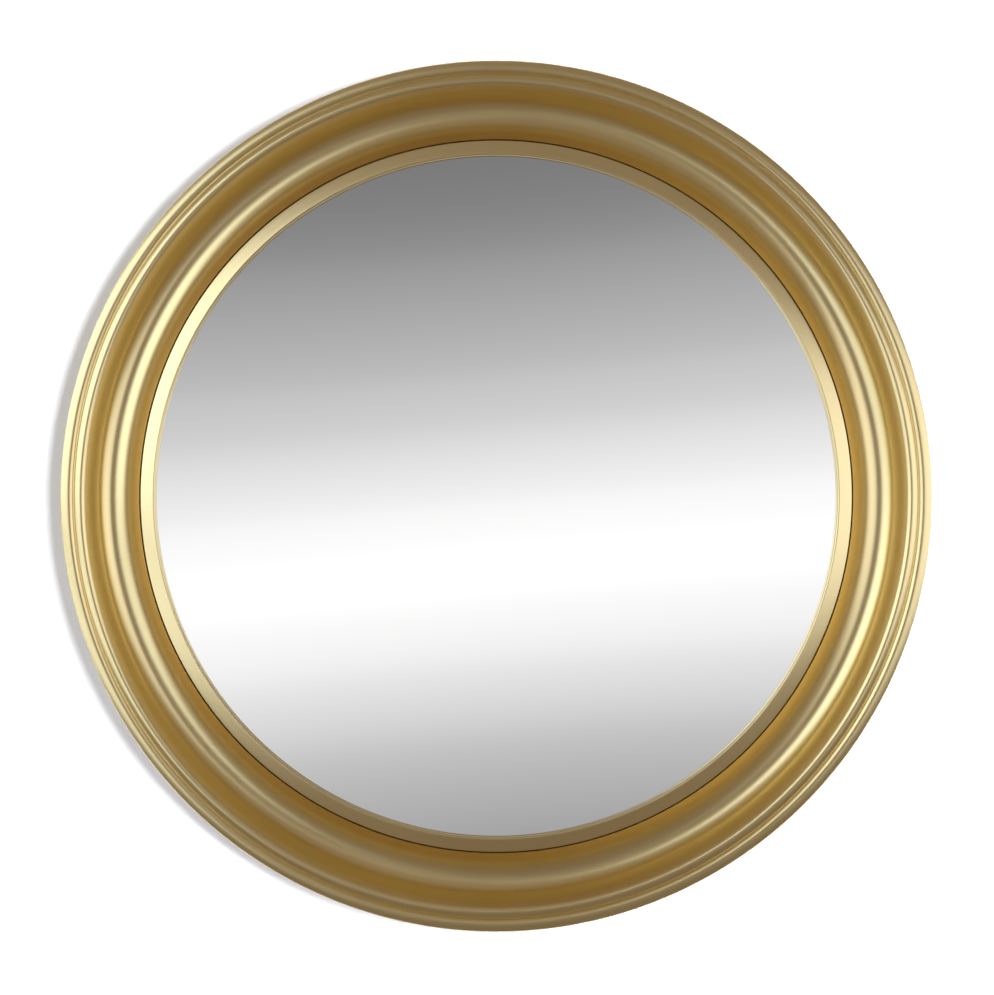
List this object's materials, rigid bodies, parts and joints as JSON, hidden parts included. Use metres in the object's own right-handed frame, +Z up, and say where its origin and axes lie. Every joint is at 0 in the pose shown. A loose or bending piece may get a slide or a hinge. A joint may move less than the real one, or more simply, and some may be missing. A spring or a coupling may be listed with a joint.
{
  "type": "convex wall mirror",
  "caption": "Round convex wall mirror in a deep scooped gilt frame, with a slip round the domed glass, a back board held by turn buttons, a hanging ring and wall bumpers.",
  "frame": {"origin": "on the wall plane, straight behind the centre of the mirror", "axes": "+Y into the wall and along the mirror's axis, -Y to the viewer, +Z up, +X to the viewer's right"},
  "size_m": [0.4999, 0.0545, 0.5],
  "materials": {
    "gilt_wood": "satin gilt, lathe turned",
    "mirror_silver": "polished convex glass, silvered behind",
    "felt": "dense felt",
    "hardboard": "pressed board, smooth face out",
    "steel": "zinc plated",
    "bumper_rubber": "matte moulded"
  },
  "bodies": {
    "mirror_body": {"frame_ring": "gilt_wood", "slip_ring": "gilt_wood", "mirror_glass": "mirror_silver", "packing_ring": "felt", "back_board": "hardboard", "slip_pins": "steel", "turn_button_screws": "steel", "hanger_plate": "steel", "hanger_screws": "steel", "bumper_left": "bumper_rubber", "bumper_right": "bumper_rubber"},
    "turn_button_1": {"turn_button_1": "steel"},
    "turn_button_2": {"turn_button_2": "steel"},
    "turn_button_3": {"turn_button_3": "steel"},
    "turn_button_4": {"turn_button_4": "steel"},
    "turn_button_5": {"turn_button_5": "steel"},
    "turn_button_6": {"turn_button_6": "steel"},
    "hanger_ring": {"hanger_ring": "steel"}
  },
  "joints": [
    {"name": "turn_button_1_swivel", "type": "hinge", "parent": "mirror_body", "child": "turn_button_1", "pos_m": [0.2245, -0.005, 0], "axis": [0, -1, 0], "continuous": true},
    {"name": "turn_button_2_swivel", "type": "hinge", "parent": "mirror_body", "child": "turn_button_2", "pos_m": [0.11225, -0.005, 0.19442], "axis": [0, -1, 0], "continuous": true},
    {"name": "turn_button_3_swivel", "type": "hinge", "parent": "mirror_body", "child": "turn_button_3", "pos_m": [-0.11225, -0.005, 0.19442], "axis": [0, -1, 0], "continuous": true},
    {"name": "turn_button_4_swivel", "type": "hinge", "parent": "mirror_body", "child": "turn_button_4", "pos_m": [-0.2245, -0.005, 0], "axis": [0, -1, 0], "continuous": true},
    {"name": "turn_button_5_swivel", "type": "hinge", "parent": "mirror_body", "child": "turn_button_5", "pos_m": [-0.11225, -0.005, -0.19442], "axis": [0, -1, 0], "continuous": true},
    {"name": "turn_button_6_swivel", "type": "hinge", "parent": "mirror_body", "child": "turn_button_6", "pos_m": [0.11225, -0.005, -0.19442], "axis": [0, -1, 0], "continuous": true},
    {"name": "hanger_ring_swing", "type": "hinge", "parent": "mirror_body", "child": "hanger_ring", "pos_m": [0, -0.0026, 0.225], "axis": [1, 0, 0], "range_deg": [0, 178]}
  ]
}
